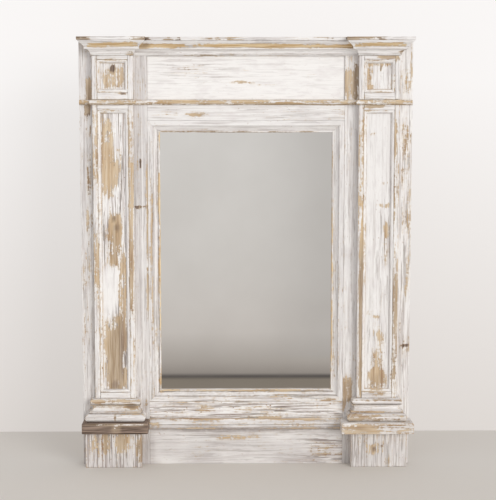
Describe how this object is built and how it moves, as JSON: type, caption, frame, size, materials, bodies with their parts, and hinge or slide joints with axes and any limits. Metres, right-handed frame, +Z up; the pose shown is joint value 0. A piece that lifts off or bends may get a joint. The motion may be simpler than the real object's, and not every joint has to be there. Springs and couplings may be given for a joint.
{
  "type": "trumeau mirror",
  "caption": "Tall wooden overmantel mirror with sunk-panel pilasters, moulded bases, frieze and stepped cornice, in worn white paint, with hanging rings behind.",
  "frame": {"origin": "centre of the bounding box at the floor", "axes": "+Z up, -Y towards the viewer in front of the glass, +X to the right seen from the front"},
  "size_m": [1.1046, 0.129, 1.426],
  "materials": {
    "painted_pine": "white distemper worn through to tan pine at the arrises and in patches, matt",
    "brown_pine": "bare weathered brown pine, matt",
    "bare_pine": "bare sawn pine, matt",
    "backing_plywood": "plain plywood, matt",
    "mirror_glass": "silvered glass with a slightly greyed tone",
    "zinc_steel": "zinc-plated steel, dull"
  },
  "bodies": {
    "frame": {"left_stile": "painted_pine", "right_stile": "painted_pine", "left_side_board": "painted_pine", "right_side_board": "painted_pine", "plinth_board": "painted_pine", "lower_rail": "painted_pine", "header_rail": "painted_pine", "frieze_board": "painted_pine", "cornice_rail": "painted_pine", "sight_frame_left": "painted_pine", "sight_frame_right": "painted_pine", "sight_frame_top": "painted_pine", "sight_frame_bottom": "painted_pine", "mirror_glass": "mirror_glass", "backing_board": "backing_plywood", "upper_batten": "bare_pine", "lower_batten": "bare_pine", "rail_moulding": "painted_pine", "centre_astragal": "painted_pine", "centre_crown": "painted_pine", "top_board": "painted_pine", "left_plinth_block": "painted_pine", "right_plinth_block": "painted_pine", "left_plinth_cap": "brown_pine", "right_plinth_cap": "painted_pine", "left_base_moulding": "painted_pine", "right_base_moulding": "painted_pine", "left_shaft_board": "painted_pine", "right_shaft_board": "painted_pine", "left_shaft_outer_strip": "painted_pine", "right_shaft_outer_strip": "painted_pine", "left_shaft_inner_strip": "painted_pine", "right_shaft_inner_strip": "painted_pine", "left_shaft_cross_strips": "painted_pine", "right_shaft_cross_strips": "painted_pine", "left_shaft_bead": "painted_pine", "right_shaft_bead": "painted_pine", "left_astragal_front": "painted_pine", "right_astragal_front": "painted_pine", "left_astragal_returns": "painted_pine", "right_astragal_returns": "painted_pine", "left_frieze_block": "painted_pine", "right_frieze_block": "painted_pine", "left_block_bead": "painted_pine", "right_block_bead": "painted_pine", "left_cap_core": "painted_pine", "right_cap_core": "painted_pine", "left_crown_front": "painted_pine", "right_crown_front": "painted_pine", "left_crown_outer_return": "painted_pine", "right_crown_outer_return": "painted_pine", "left_crown_inner_return": "painted_pine", "right_crown_inner_return": "painted_pine", "left_hanger_strap": "zinc_steel", "right_hanger_strap": "zinc_steel", "hanger_screws": "zinc_steel", "carcass_screws": "zinc_steel"},
    "left_ring": {"left_hanger_ring": "zinc_steel"},
    "right_ring": {"right_hanger_ring": "zinc_steel"}
  },
  "joints": [
    {"name": "left_ring_hinge", "type": "hinge", "parent": "frame", "child": "left_ring", "pos_m": [-0.39425, 0.059, 1.3185], "axis": [1, 0, 0], "range_deg": [0, 180]},
    {"name": "right_ring_hinge", "type": "hinge", "parent": "frame", "child": "right_ring", "pos_m": [0.38575, 0.059, 1.3185], "axis": [1, 0, 0], "range_deg": [0, 180]}
  ]
}
